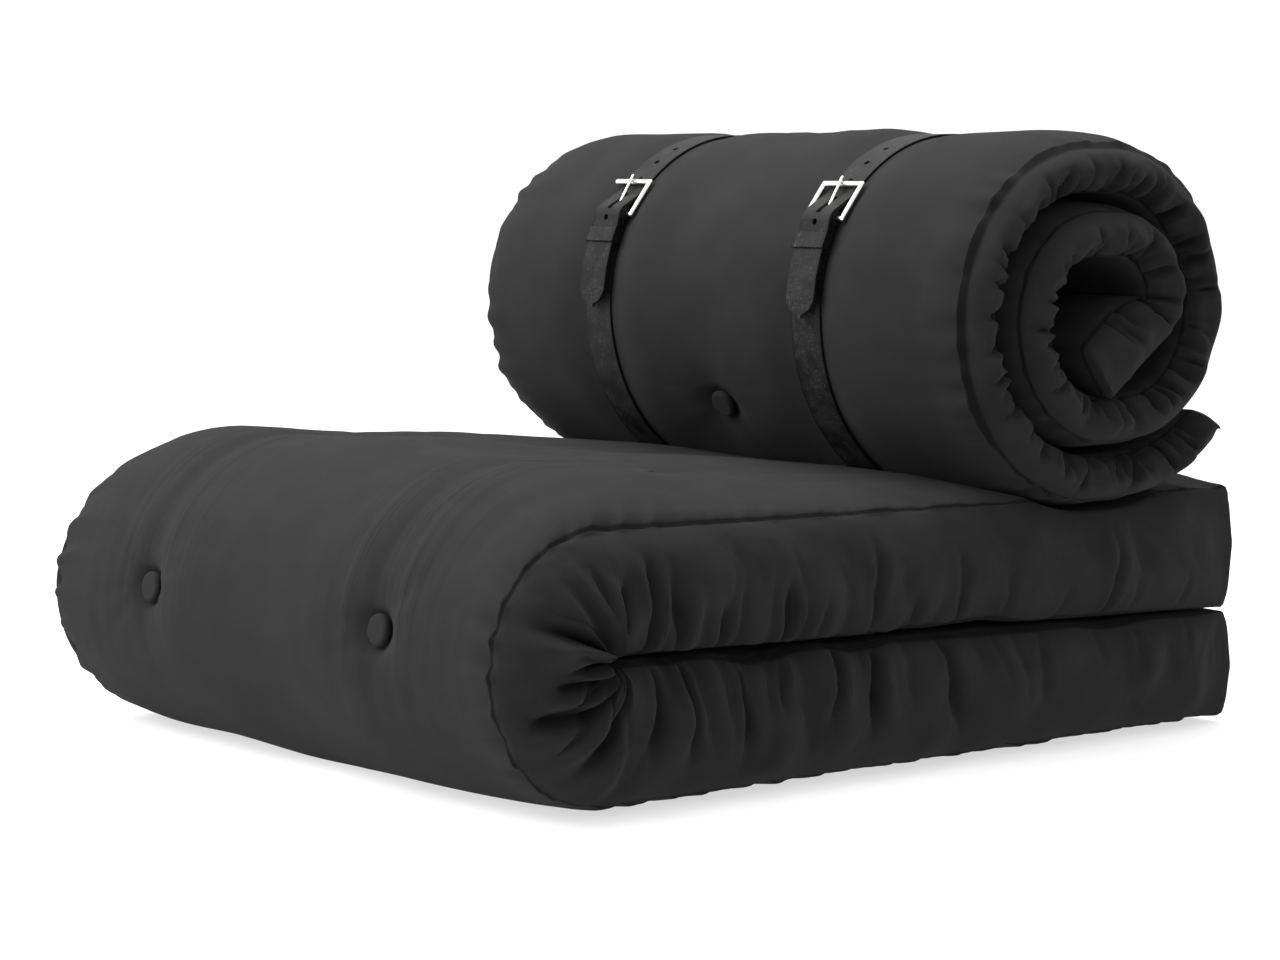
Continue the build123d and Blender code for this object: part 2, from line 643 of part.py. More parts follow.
def build_seat():
    """Both halves of the folded futon."""
    lower_tufts, upper_tufts = tuft_plan()
    halves = (
        ("seat_lower", lower_section, flat_floor, lower_tufts),
        ("seat_upper", upper_section, cradle, upper_tufts),
    )
    for name, section, cutter, tufts in halves:
        cover, borders, batting, core = layers(section, cutter, tufts)
        save(name + "_cover", cover)
        save(name + "_border_left", borders[0])
        save(name + "_border_right", borders[1])
        save(name + "_batting", batting)
        save(name + "_foam_core", core)
        buttons = [button(place, depth) for place, rim, depth, low in tufts]
        twines = [
            rod(place, BUTTON_SEAT / 2 - depth, low, TWINE_RADIUS)
            for place, rim, depth, low in tufts
            if low
        ]
        save(name + "_tuft_buttons", Compound(children=buttons))
        save(name + "_tuft_twine", Compound(children=twines))


def back_tufts():
    """Places of the rolled futon's tufts on its outer face, in the middle of its width."""
    places = []
    for index, angle in BACK_TUFTS:
        out = (cos(radians(angle)), sin(radians(angle)))
        reach = quarter(index) + HALF_BACK
        spot = HUBS[index] + Vector(*out) * reach
        middle = (ROLL_SHIFT, spot.X, spot.Y)
        places.append(Plane(origin=middle, x_dir=(1, 0, 0), z_dir=(0, *out)))
    return places


def build_back():
    """The rolled futon, layer by layer."""
    places = back_tufts()
    half = SEAT_WIDTH / 2
    inner = HALF_BACK - COVER
    core = BACK_CORE / 2

    def pressed(shape, inset):
        return shape - [dimple(place, BACK_TUFT_RIM, BACK_TUFT_DEPTH, inset) for place in places]

    holes = [
        rod(place, 0.0, -BACK_THICKNESS - ROLL_GAP / 2, TWINE_RADIUS + TWINE_PLAY) for place in places
    ]
    skin = pressed(back_slab(0.0, HALF_BACK, half), 0.0)
    under = pressed(back_slab(-COVER, inner, half), COVER)
    save("back_outer_panel", (skin - under) - holes)
    save("back_inner_panel", back_slab(-HALF_BACK, -inner, half) - holes)
    fill = pressed(back_slab(core + SLIP, inner - SLIP, half - SLIP), COVER + SLIP)
    save("back_outer_batting", fill - holes)
    save("back_foam_core", back_slab(-core, core, half - SLIP) - holes)
    save("back_inner_batting", back_slab(SLIP - inner, -core - SLIP, half - SLIP) - holes)
    save("back_border_left", back_border(-1))
    save("back_border_right", back_border(1))
    save("back_end_panels", Compound(children=[back_end(0, -1), back_end(1, 1)]))
    save("back_tuft_buttons", Compound(children=[button(place, BACK_TUFT_DEPTH) for place in places]))
    twines = [
        rod(place, BUTTON_SEAT / 2 - BACK_TUFT_DEPTH, -BACK_THICKNESS, TWINE_RADIUS)
        for place in places
    ]
    save("back_tuft_twine", Compound(children=twines))


def build_straps():
    """Straps with their keepers, stitches, buckle frames and prongs."""
    for name, side in (("left", -1), ("right", 1)):
        x = strap_place(side)
        save("strap_" + name, strap(x))
        save("strap_stitches_" + name, Compound(children=stitching(x)))
        save("strap_keeper_" + name, keeper(x))
        save("buckle_frame_" + name, buckle_frame(x))
        save("buckle_prong_" + name, prong(x))


os.makedirs("parts", exist_ok=True)
build_back()
build_straps()
build_seat()
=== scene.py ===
"""Looks of a futon lounge seat: a folded seat futon, a rolled back futon, straps and a studio."""

from math import cos, pi, radians, sin

import bpy
import numpy as np
from bpy.props import FloatProperty, FloatVectorProperty, PointerProperty
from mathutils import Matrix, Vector


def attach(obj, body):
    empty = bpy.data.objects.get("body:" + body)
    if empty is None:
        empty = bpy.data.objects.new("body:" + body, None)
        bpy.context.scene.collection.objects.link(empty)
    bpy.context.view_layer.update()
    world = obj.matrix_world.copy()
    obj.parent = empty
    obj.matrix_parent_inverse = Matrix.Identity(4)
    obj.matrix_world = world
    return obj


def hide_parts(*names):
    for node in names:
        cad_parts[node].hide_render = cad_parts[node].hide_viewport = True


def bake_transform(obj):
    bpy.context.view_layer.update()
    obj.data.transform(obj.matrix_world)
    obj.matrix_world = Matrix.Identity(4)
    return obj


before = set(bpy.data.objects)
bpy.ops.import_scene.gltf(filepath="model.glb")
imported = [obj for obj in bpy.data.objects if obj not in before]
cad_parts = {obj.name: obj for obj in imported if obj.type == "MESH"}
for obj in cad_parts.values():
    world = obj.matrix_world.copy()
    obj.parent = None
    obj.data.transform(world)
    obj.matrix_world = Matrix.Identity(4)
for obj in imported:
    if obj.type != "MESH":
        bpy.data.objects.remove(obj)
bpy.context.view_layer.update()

bl_info = {
    "name": "Futon Lounge Seat",
    "version": (1, 0, 0),
    "blender": (4, 5, 0),
    "location": "View3D > Sidebar > Futon",
    "description": "Dresses a folded and rolled futon seat in cotton cloth, leather and nickel",
    "category": "Object",
}

SEAMS = 0.350               # half the width between side seams
TUFT_COLUMN = 0.185         # seat tufts each side of the middle
FREE_ROW = -0.150           # seat tufts in front of the roll
FRONT_TUFT = (-0.4385, 0.150)
BACK_TUFTS = (212.0, 80.0)  # degrees round the roll
ROLL_SHIFT = 0.012          # the roll lies this far to the right of the seat's middle
STRAP_PLACES = (-0.144, 0.168)
STRAP_HUB = (0.2305, 0.398)  # middle of the roll's front turn, along Y and Z
FREE_END = (0.1722, 170.0, 184.0)  # least radius of the strap's free end, and its angles
TIP_SHOULDER = (0.015, 178.5, 0.62, 1.6)  # corner's place and angle, width kept, degrees back
TIP_NUB = (181.2, 1.1)      # angle past which the nub is drawn back, and by how many degrees
STRAP_DENT = 0.0042         # room for a strap between the roll and the seat
BUTTON_FLAT = (0.013, 0.024)  # a dimple is flat inside the first radius, free past the second
ROLL_HALF = 0.025           # half the thickness of the roll's outer turn
ROLL_FLAT = 0.029           # straight run between its quarter turns
REAR_TURN = 0.126           # radii of its last quarter turns and of the tail
TOP_TURN = 0.1395
FRONT_TURN = 0.153
TAIL_TURN = 0.180
SEAT_RUNS = (0.0, 0.750, 1.130, 1.880)  # lengths along the seat's cover at its four bends
SEAT_ROWS = (180, 130, 190)  # rows underneath, round the fold and over the top
FOLD_END = 0.316            # the straight runs start this far in front of the middle
TOP_LENGTH = 0.752          # lengths of the upper and the lower straight run
LOWER_LENGTH = 0.742
VALLEY_SHADE_SEAT = 0.009         # depth of a pleat at which the shade painted into its valley is darkest
VALLEY_SHADE_BACK = 0.007
POCKET = 0.006              # the halves gape this much here and there along the strips
FLOOR_GAP = 0.0006
ROLL_GAP = 0.0012           # room between the seat and the roll on it
CLOTH_FRAMES = 18
CLOTH_PUSH = 5.0
SEAT_CAP = 0.020            # the cloth run moves no point of the seat farther than this
BACK_CAP = 0.011
# Lights: name, place, aim, width and share of the key light's power
LIGHTS = (
    ("key", (-1.6, -2.6, 2.9), (0, 0, 0.25), 2.2, 1.0),
    ("top", (-0.5, 0.2, 3.2), (0, 0, 0.3), 2.6, 0.75),
    ("front", (-1.0, -3.6, 1.4), (0, 0.1, 0.45), 1.6, 0.2))
FLOOR_REACH = 30.0
FLOOR_GREY = 0.42
# Pleats of the seat's side strips: place along Y, or share of the fold, depth, reach and, there, lean
TOP_PLEATS = (
    (-0.285, 0.017, 0.90), (-0.253, 0.015, 0.60), (-0.205, 0.010, 0.50), (-0.135, 0.018, 0.60),
    (-0.095, 0.008, 0.45), (-0.033, 0.010, 0.95), (0.020, 0.006, 0.40), (0.075, 0.007, 0.80),
    (0.132, 0.004, 0.50), (0.200, 0.003, 0.40), (0.265, 0.008, 0.90), (0.300, 0.003, 0.50),
    (0.365, 0.003, 0.45))
LOWER_PLEATS = (
    (-0.285, 0.015, 0.75), (-0.250, 0.017, 0.85), (-0.192, 0.016, 0.80), (-0.140, 0.010, 0.50),
    (-0.076, 0.014, 0.70), (-0.033, 0.017, 0.85), (0.050, 0.006, 0.80), (0.110, 0.003, 0.50),
    (0.173, 0.004, 0.70), (0.245, 0.003, 0.40), (0.300, 0.003, 0.60), (0.370, 0.003, 0.45))
FOLD_PLEATS = (
    (0.05, 0.022, 0.95, 0.20), (0.17, 0.026, 1.00, 0.22), (0.38, 0.022, 0.75, 0.14),
    (0.55, 0.018, 0.60, -0.10), (0.70, 0.027, 0.90, -0.06), (0.92, 0.021, 0.80, 0.12))


def size(name, description, default):
    """Length setting in metres."""
    return FloatProperty(name=name, description=description, default=default, unit="LENGTH")


def share(name, description, default):
    """Plain number setting from nothing to one."""
    return FloatProperty(name=name, description=description, default=default, min=0.0, max=1.0)


class FutonSeatSettings(bpy.types.PropertyGroup):
    """Sizes of the folded seat futon."""

    depth: size("Depth", "Front fold to the open ends at the back", 0.880)
    fold_height: size("Fold height", "Height of the front fold line", 0.130)
    back_gap: size("Back gap", "Height where the halves meet at the back", 0.111)
    side_height: size("Side height", "Upper side seam behind the fold", 0.240)
    back_height: size("Back height", "Upper seam at the back", 0.229)
    crown: size("Crown", "Rise of the middle above the side seams", 0.048)
    back_crown: size("Back crown", "The same rise at the back", 0.006)
    drawn_in: size("Drawn in", "Front stands back this much at the seams", 0.004)
    bulge: size("Side bulge", "Swell of the side strips", 0.026)
    pleat: size("Pleat depth", "Depth of the gathers at the fold", 0.017)
    tuft: size("Tuft depth", "Depth of the dimples round the buttons", 0.0138)
    slack: share("Slack", "Extra cloth in the side strips round the fold", 0.42)


class FutonBackSettings(bpy.types.PropertyGroup):
    """Sizes of the rolled back futon."""

    front: size("Front", "Front of the roll along Y", 0.066)
    base: size("Base", "Height of the roll's underside", 0.220)
    inner: size("Inner thickness", "Thickness at the inner end", 0.074)
    outer: size("Outer thickness", "Thickness in the outer turn", 0.051)
    slip: size("Slip", "How far the inner turn stands out of the roll's right end", 0.013)
    puff: size("Puff", "Swell between the straps", 0.006)
    shoulder: size("Shoulder", "Rounding of the outer face towards the side seams", 0.011)
    bulge: size("Side bulge", "Swell of the side strips", 0.022)
    pleat: size("Pleat depth", "Depth of the gathers on the inside of a turn", 0.013)
    tuft: size("Tuft depth", "Depth of the dimples round the buttons", 0.0085)
    slack: share("Slack", "Extra cloth in the side strips", 0.24)


class FutonLookSettings(bpy.types.PropertyGroup):
    """Colours and finishes."""

    cloth: FloatVectorProperty(
        name="Cloth", description="Colour of the cotton cover", subtype="COLOR", size=3,
        default=(0.0125, 0.0125, 0.0130), min=0.0, max=1.0)
    leather: FloatVectorProperty(
        name="Leather", description="Colour of the straps", subtype="COLOR", size=3,
        default=(0.0085, 0.0082, 0.0080), min=0.0, max=1.0)
    metal: FloatVectorProperty(
        name="Metal", description="Colour of the buckles", subtype="COLOR", size=3,
        default=(0.78, 0.77, 0.75), min=0.0, max=1.0)
    fuzz: share("Fuzz", "Soft sheen of the cotton", 0.02)


class FutonStageSettings(bpy.types.PropertyGroup):
    """Camera and light."""

    azimuth: FloatProperty(
        name="Azimuth", description="Camera angle round the seat from its front", unit="ROTATION",
        default=radians(51.18))
    elevation: FloatProperty(
        name="Elevation", description="Camera angle above the floor", unit="ROTATION",
        default=radians(5.476))
    distance: size("Distance", "Camera to its aim point", 3.259)
    aim: FloatVectorProperty(
        name="Aim", description="Point the camera looks at", subtype="TRANSLATION", size=3,
        default=(0.0006, 0.0007, 0.2357))
    lens: FloatProperty(name="Lens", description="Focal length", unit="CAMERA", default=95.63)
    key: FloatProperty(name="Key light", description="Power of the large light", default=192.0)
    fill: FloatProperty(name="Fill", description="Strength of the light all round", default=1.08)
    glow: FloatProperty(name="Glow", description="Light given off by the white floor", default=0.62)


# Number tools

def ease(low, high, value):
    """Smooth step from nought at low to one at high."""
    t = np.clip((value - low) / (high - low), 0.0, 1.0)
    return t * t * (3.0 - 2.0 * t)


def ripple(u, v, long_u, long_v, seed, count=14):
    """Smooth random field: a sum of cosines with random directions, about one high."""
    draw = np.random.default_rng(seed)
    total = np.zeros(np.broadcast(u, v).shape)
    for _ in range(count):
        turn, phase, stretch = draw.uniform(0, 2 * pi), draw.uniform(0, 2 * pi), draw.uniform(0.6, 1.6)
        along = cos(turn) * u / long_u + sin(turn) * v / long_v
        total += np.cos(2 * pi * along * stretch + phase)
    return total * np.sqrt(2.0 / count) * 0.7


def normals(points):
    """Unit normals of a grid that closes on itself in its second direction."""
    along = np.gradient(points, axis=0)
    around = (np.roll(points, -1, axis=1) - np.roll(points, 1, axis=1)) / 2
    cross = np.cross(around, along)
    return cross / np.maximum(np.linalg.norm(cross, axis=2, keepdims=True), 1e-9)


def gathers(place, level, starts, widths, depths, slants, reach):
    """Sharp pleats: each is a narrow valley at its start, leaning with level, fading past reach."""
    total = np.zeros(place.shape)
    for start, width, depth, slant, end in zip(starts, widths, depths, slants, reach):
        line = place - start - slant * (1.0 - level) ** 1.5
        fade = ease(1.0 - end, 1.0 - end * 0.25, level)
        total -= depth * fade * np.exp(-np.abs(line / width) ** 1.25)
    return total


def creases(place, level, plan):
    """Folded-in lines: each a sharp valley with rounded lips, from the inner seam outwards.

    depth * fade * (0.35 exp(-((|d| - 2.2 w) / 1.3 w)^2) - exp(-|d| / w)), d off the pleat's line.
    """
    total = np.zeros(place.shape)
    out = 1.0 - level
    for start, depth, width, reach, slant in plan:
        off = np.abs(place - start - slant * out)
        wide = width * (0.6 + 0.8 * out)
        fade = ease(reach, reach * 0.4, out) * ease(-0.05, 0.10, out)
        lip = 0.35 * np.exp(-((off - 2.2 * wide) / (1.3 * wide)) ** 2)
        total += depth * fade * (lip - np.exp(-off / wide))
    return total


def strip_columns(across, strip, inside):
    """Columns of the right and the left side strip, each with the seam at both its edges."""
    right = np.arange(across - 1, across + strip + 1)
    left = np.append(np.arange(across + strip + inside - 1, across + 2 * strip + inside), 0)
    return right, left


def run_cloth(points, strips, slack, cap):
    """Side strips run as cloth: edges held, cloth longer than its place, pushed from inside.

    slack gives each row's extra length. A move of length d becomes cap * tanh(d / cap).
    """
    scene = bpy.context.scene
    runs = []
    for columns in strips:
        part = points[:, columns]
        rows, count = part.shape[:2]
        index = np.arange(rows * count).reshape(rows, count)
        faces = np.stack([index[:-1, :-1], index[:-1, 1:], index[1:, 1:], index[1:, :-1]], axis=-1)
        mesh = bpy.data.meshes.new("strip")
        mesh.from_pydata(part.reshape(-1, 3), [], faces.reshape(-1, 4))
        facing = np.empty(len(mesh.polygons) * 3, dtype=np.float32)
        mesh.polygons.foreach_get("normal", facing)
        if facing[::3].sum() * part[rows // 2, count // 2, 0] < 0:
            mesh.flip_normals()
        thing = bpy.data.objects.new("strip", mesh)
        scene.collection.objects.link(thing)
        held = thing.vertex_groups.new(name="held")
        edge = np.concatenate([index[:, 0], index[:, -1], index[0], index[-1]])
        held.add(edge.tolist(), 1.0, "REPLACE")
        loose = thing.vertex_groups.new(name="loose")
        for row in range(rows):
            loose.add(index[row].tolist(), float(slack[row] / slack.max()), "REPLACE")
        cloth = thing.modifiers.new("cloth", "CLOTH")
        settings = cloth.settings
        settings.quality = 6
        settings.mass = 0.002
        settings.tension_stiffness = 12.0
        settings.compression_stiffness = 12.0
        settings.shear_stiffness = 4.0
        settings.bending_stiffness = 0.02
        settings.air_damping = 2.0
        settings.vertex_group_mass = "held"
        settings.vertex_group_shrink = "loose"
        settings.shrink_min = 0.0
        settings.shrink_max = -float(slack.max())
        settings.use_pressure = True
        settings.uniform_pressure_force = CLOTH_PUSH
        settings.effector_weights.gravity = 0.0
        cloth.collision_settings.use_collision = False
        cloth.point_cache.frame_start = 1
        cloth.point_cache.frame_end = CLOTH_FRAMES
        runs.append((columns, thing))
    for number in range(1, CLOTH_FRAMES + 1):
        scene.frame_set(number)
    graph = bpy.context.evaluated_depsgraph_get()
    for columns, thing in runs:
        result = thing.evaluated_get(graph).to_mesh()
        moved = np.empty(len(result.vertices) * 3, dtype=np.float32)
        result.vertices.foreach_get("co", moved)
        before = points[:, columns]
        move = moved.reshape(before.shape) - before
        far = np.linalg.norm(move, axis=2, keepdims=True)
        points[:, columns] = before + move * (cap * np.tanh(far / cap) / np.maximum(far, 1e-9))
        mesh = thing.data
        bpy.data.objects.remove(thing)
        bpy.data.meshes.remove(mesh)
    scene.frame_set(1)


def tube_object(name, points, seam_at, lengths, valley, flip=False):
    """Closed grid made an object, with its points' seam distance, run and depth in a pleat, the last as
    the mask of shade painted into the pleats' valleys.
    """
    rows, columns = points.shape[:2]
    index = np.arange(rows * columns).reshape(rows, columns)
    ahead = np.roll(index, -1, axis=1)
    faces = np.stack([index[:-1], ahead[:-1], ahead[1:], index[1:]], axis=-1).reshape(-1, 4)
    if flip:
        faces = faces[:, ::-1]
    mesh = bpy.data.meshes.new(name)
    mesh.from_pydata(points.reshape(-1, 3), [], faces)
    mesh.polygons.foreach_set("use_smooth", np.ones(len(faces), dtype=bool))
    seam = mesh.attributes.new("seam", "FLOAT", "POINT")
    seam.data.foreach_set("value", np.tile(seam_at, rows).astype(np.float32))
    run = mesh.attributes.new("run", "FLOAT", "POINT")
    run.data.foreach_set("value", np.repeat(lengths, columns).astype(np.float32))
    ends = (rows - len(valley)) // 2
    # valley attribute: mask of shade painted into the pleats' valleys
    deep = mesh.attributes.new("valley", "FLOAT", "POINT")
    deep.data.foreach_set("value", np.pad(valley, ((ends, ends), (0, 0))).ravel().astype(np.float32))
    mesh.validate()
    mesh.update()
    thing = bpy.data.objects.new(name, mesh)
    bpy.context.scene.collection.objects.link(thing)
    return thing


def ring_plan(across, border, inside, tuck):
    """One loop round a futon: outer panel, right strip, inner panel, left strip.

    Gives the X of each point in half widths, its depth from the outer face (0) to the inner
    face (1), which points lie on a side strip, with the strip's side, and the swell there:
    the strip rounds out from its outer seam and tucks in at its inner one.
    """
    span = np.sin(np.linspace(-1, 1, across) * 1.45) / sin(1.45)
    way = np.linspace(0, 1, border + 2)[1:-1]
    round_off = np.clip(way / (1 - tuck), 0, 1)
    deep = 0.4 * round_off + 0.3 * (1 - np.cos(pi * round_off))
    out = np.sin(pi * round_off) ** 0.85
    if tuck:
        out = out - ease(1 - tuck, 1.0, way) * 0.6
    back = np.linspace(1, -1, inside) * (0.95 if tuck else 1.0)
    panel, lining, edge = np.zeros(across), np.zeros(inside), np.ones(border)
    x = np.concatenate([span, edge, back, -edge])
    level = np.concatenate([panel, deep, lining + 1, deep[::-1]])
    side = np.concatenate([panel, edge, lining, -edge])
    swell = np.concatenate([panel, out, lining, out[::-1]])
    return x, level, side, swell


def seam_distance(x, level, side, thickness):
    """Distance of each point of a ring to the nearest side seam."""
    strip = np.minimum(level, 1 - level) * thickness
    return np.where(side == 0, (1 - np.abs(x)) * SEAMS, strip)


# Seat futon

def crown_share(x):
    """Share of the crown: (1 - |x|^p)^q, one in the middle, nothing at the seams, fuller on the left."""
    left = np.asarray(x) < 0
    return np.maximum(1.0 - np.abs(x) ** np.where(left, 5.0, 3.2), 0.0) ** np.where(left, 0.42, 0.55)


class SeatForm:
    """Side view of the folded futon, from its lower back end round the fold to its upper one."""

    def __init__(self, s):
        self.s = s

    def outer(self, t, c):
        """Outer face: t runs 0 to 1 underneath, 1 to 2 round the fold, 2 to 3 over the top."""
        s = self.s
        front = -s.depth / 2 + s.drawn_in * (1 - c)
        back = s.depth / 2 - s.drawn_in * (1 - c)
        low = 0.010 * (1 - c) - 0.004 * c
        high = s.side_height + s.crown * c
        end = s.back_height + s.back_crown * c
        down, up = s.fold_height - low, high - s.fold_height
        turn = pi * (1.5 - 0.5 * np.clip(t - 1, 0, 1) * 2)
        under = t < 1.5
        radius = np.where(under, down, up)
        y = front + radius + radius * np.cos(turn)
        z = s.fold_height + radius * np.sin(turn)
        run = np.clip(t, 0, 1)
        y = np.where(t < 1, back + (front + down - back) * run, y)
        run = np.clip(t - 2, 0, 1)
        y = np.where(t > 2, front + up + (back - front - up) * run, y)
        fall = run + 0.10 * np.sin(pi * run)
        z = np.where(t > 2, high + (end - high) * fall, z)
        return y, z

    def meeting(self, y):
        """Plane where the halves meet."""
        s = self.s
        front = -s.depth / 2 + s.fold_height
        return s.fold_height + (s.back_gap - s.fold_height) * (y - front) / (s.depth / 2 - front)

    def inner(self, t, c):
        """Inner face: along the meeting plane to the crease and back."""
        s = self.s
        crease = -s.depth / 2 + s.fold_height + 0.004
        back = s.depth / 2 - s.drawn_in * (1 - c)
        apart = 0.0016
        turn = np.clip(t - 1, 0, 1)
        y = np.where(t < 1, back + (crease - back) * np.clip(t, 0, 1), crease)
        y = np.where(t > 2, crease + (back - crease) * np.clip(t - 2, 0, 1), y)
        y = y - 0.012 * np.sin(pi * turn) * (t > 1) * (t < 2)
        pinch = ease(0.0, 0.06, y - crease)
        gap = apart * (0.35 + 0.65 * pinch)
        return y, self.meeting(y) + gap * np.where(t < 1, -1, np.where(t > 2, 1, 2 * turn - 1))


def press(points, normal, centre, depth, spread, seed, columns):
    """Tuft: a dimple, depth * exp(-(far / spread)^1.15), flat under the button, in a faint star."""
    away = points - np.asarray(centre)
    far = np.linalg.norm(away, axis=2)
    along = np.hypot(away[..., 1], away[..., 2]) * np.sign(away[..., 2] + away[..., 1])
    turn = np.arctan2(away[..., 0], along)
    draw = np.random.default_rng(seed)
    star = sum(np.cos(k * turn + draw.uniform(0, 6)) * draw.uniform(0.4, 1.0) for k in (3, 5, 8, 13))
    dip = np.exp(-(far / spread) ** 1.15)
    floor = ease(*BUTTON_FLAT, far)
    drag = 0.0009 * star * np.exp(-far / (2.2 * spread)) * ease(0.016, 0.04, far)
    amount = -depth * (dip * floor + (1 - floor)) + drag
    points[:, :columns] += (normal * amount[..., None])[:, :columns]


class FUTON_OT_seat(bpy.types.Operator):
    """Seat futon as one closed surface folded over its front line"""

    bl_idname = "futon.seat"
    bl_label = "Seat futon"

    def execute(self, context):
        s = context.scene.futon_seat
        form = SeatForm(s)
        across, strip, inside = 112, 34, 18
        x, level, side, out = ring_plan(across, strip, inside, 0.14)
        under, bend, over = SEAT_ROWS
        t = np.concatenate([
            np.linspace(0, 1, under, endpoint=False), np.linspace(1, 2, bend, endpoint=False),
            np.linspace(2, 3, over)])
        c = np.where(side == 0, crown_share(x), 0.0)[None, :]
        tt = t[:, None]
        oy, oz = form.outer(tt, c)
        iy, iz = form.inner(tt, c)
        y = oy * (1 - level) + iy * level
        z = oz * (1 - level) + iz * level
        wave = POCKET * ripple(y, 0.0, 0.13, 1.0, 71) * ease(-0.31, -0.22, y) * ease(0.44, 0.05, y)
        apart = np.where(tt > 1.5, np.maximum(wave, 0), np.minimum(wave, 0))
        z = z + apart * level ** 2 * np.abs(x) ** 8
        lengths = np.interp(t, [0, 1, 2, 3], SEAT_RUNS)
        fold = np.exp(-((t - 1.5) / 0.55) ** 2)
        ends = ease(0.0, 0.10, t) * ease(3.0, 2.90, t)
        swell = s.bulge * ((0.75 + 0.5 * fold) * (0.3 + 0.7 * ends))[:, None] * out
        gx = (SEAMS * x)[None, :] + side[None, :] * swell
        points = np.stack([np.broadcast_to(gx, y.shape), y, z], axis=2).copy()
        self.pleat(points, t, level, side, s)
        loose = 0.03 + s.slack * np.exp(-np.maximum(np.abs(t - 1.5) - 0.5, 0) / 0.25)
        run_cloth(points, strip_columns(across, strip, inside), loose, SEAT_CAP)
        valley = self.crease(points, t, level, side)
        normal = normals(points)
        self.drape(points, normal, lengths, x, across)
        self.tufts(points, normal, across, s)
        self.rest(points, context)
        points = self.close(points)
        rows = len(points)
        lengths = np.interp(np.linspace(0, 1, rows), np.linspace(0, 1, len(lengths)), lengths)
        seam_at = seam_distance(x, level, side, 0.115)
        seat = tube_object("seat_futon", points, seam_at, lengths, valley)
        seat.data.materials.append(cloth_material("charcoal_twill", context.scene.futon_look, 4.0))
        nodes = [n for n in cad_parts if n.startswith("seat_") and "button" not in n]
        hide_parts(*nodes)
        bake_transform(seat)
        return {"FINISHED"}

    def pleat(self, points, t, level, side, s):
        """Gathers of the side strips towards the crease, deepest round the fold."""
        for way, seed in ((1, 7), (-1, 11)):
            columns = np.where(side == way)[0]
            draw = np.random.default_rng(seed)
            near = np.linspace(1.04, 1.96, 8) + draw.uniform(-0.05, 0.05, 8)
            low = 1 - np.cumsum(draw.uniform(0.025, 0.07, 12))
            high = 2 + np.cumsum(draw.uniform(0.025, 0.07, 12))
            starts = np.concatenate([near, low, high])
            count = len(starts)
            away = np.maximum(np.abs(starts - 1.5) - 0.5, 0)
            depths = s.pleat * draw.uniform(0.5, 1.2, count) * np.exp(-away / 0.45)
            widths = np.where(away > 0, 0.011, 0.036) * draw.uniform(0.7, 1.4, count)
            slants = draw.normal(0, 0.05, count) * np.where(away > 0, 0.7, 2.6)
            reach = draw.uniform(0.55, 1.05, count)
            place = np.repeat(t[:, None], len(columns), axis=1)
            deep = np.repeat(level[columns][None, :], len(t), axis=0)
            amount = gathers(place, deep, starts, widths, depths, slants, reach)
            lump = 0.005 * ripple(place, deep, 0.11, 0.8, seed + 1) * np.sin(pi * deep)
            puffy = 0.45 * s.pleat * np.exp(-np.maximum(np.abs(place - 1.5) - 0.5, 0) / 0.45) * deep
            ends = (ease(0.0, 0.08, t) * ease(3.0, 2.92, t))[:, None]
            points[:, columns, 0] += way * (amount + lump + puffy) * ends

    def crease(self, points, t, level, side):
        """Sharp pleats of the strips, read from the photograph on the right, varied on the left; gives
        each point's depth in a pleat as the mask of shade painted into the valleys.
        """
        valley = np.zeros(points.shape[:2])
        for way, seed in ((1, 51), (-1, 53)):
            draw = np.random.default_rng(seed)
            plan = []
            halves = (TOP_PLEATS, 2, 1 / TOP_LENGTH), (LOWER_PLEATS, 1, -1 / LOWER_LENGTH)
            for table, first, scale in halves:
                for y, depth, reach in table:
                    start = first + (y + FOLD_END + (way < 0) * draw.normal(0, 0.02)) * scale
                    plan.append((start, depth, draw.uniform(0.005, 0.008), reach, draw.normal(0, 0.018)))
            for start, depth, reach, slant in FOLD_PLEATS:
                start = 1 + start + (way < 0) * draw.normal(0, 0.03)
                slant = slant + draw.normal(0, 0.03)
                plan.append((start, depth, draw.uniform(0.020, 0.034), reach, slant))
            columns = np.where(side == way)[0]
            place = np.repeat(t[:, None], len(columns), axis=1)
            deep = np.repeat(level[columns][None, :], len(t), axis=0)
            amount = creases(place, deep, plan)
            points[:, columns, 0] += way * amount
            # mask of painted shade: the deeper in a pleat's valley, the darker the cloth
            valley[:, columns] = np.clip(-amount / VALLEY_SHADE_SEAT, 0, 1)
        return valley

    def drape(self, points, normal, lengths, x, across):
        """Cloth over the panels: soft lumps, drag lines, puckers at the seams, grooves by the tufts."""
        run = lengths[:, None]
        wide = (SEAMS * x[:across])[None, :]
        edge = SEAMS - np.abs(wide)
        lumps = 0.0030 * ripple(wide, run, 0.30, 0.30, 3)
        lines = 0.00035 * ripple(wide, run, 0.022, 0.55, 5, 24) * ease(0.75, 0.95, run)
        lines = lines * (0.35 + 0.65 * np.exp(-((np.abs(wide) - TUFT_COLUMN) / 0.09) ** 2))
        pucker = 0.0016 + 0.0022 * np.exp(-((run - 0.94) / 0.22) ** 2)
        pucker = pucker * ripple(run, edge, 0.026, 0.5, 9, 20) * np.exp(-edge / 0.024)
        groove = np.exp(-((np.abs(wide) - TUFT_COLUMN) / 0.016) ** 2)
        groove = 0.0040 * groove * ease(0.90, 0.97, run) * ease(1.42, 1.22, run)
        amount = (lumps * ease(0.0, 0.06, edge) + lines + pucker - groove)[..., None]
        points[:, :across] += normal[:, :across] * amount

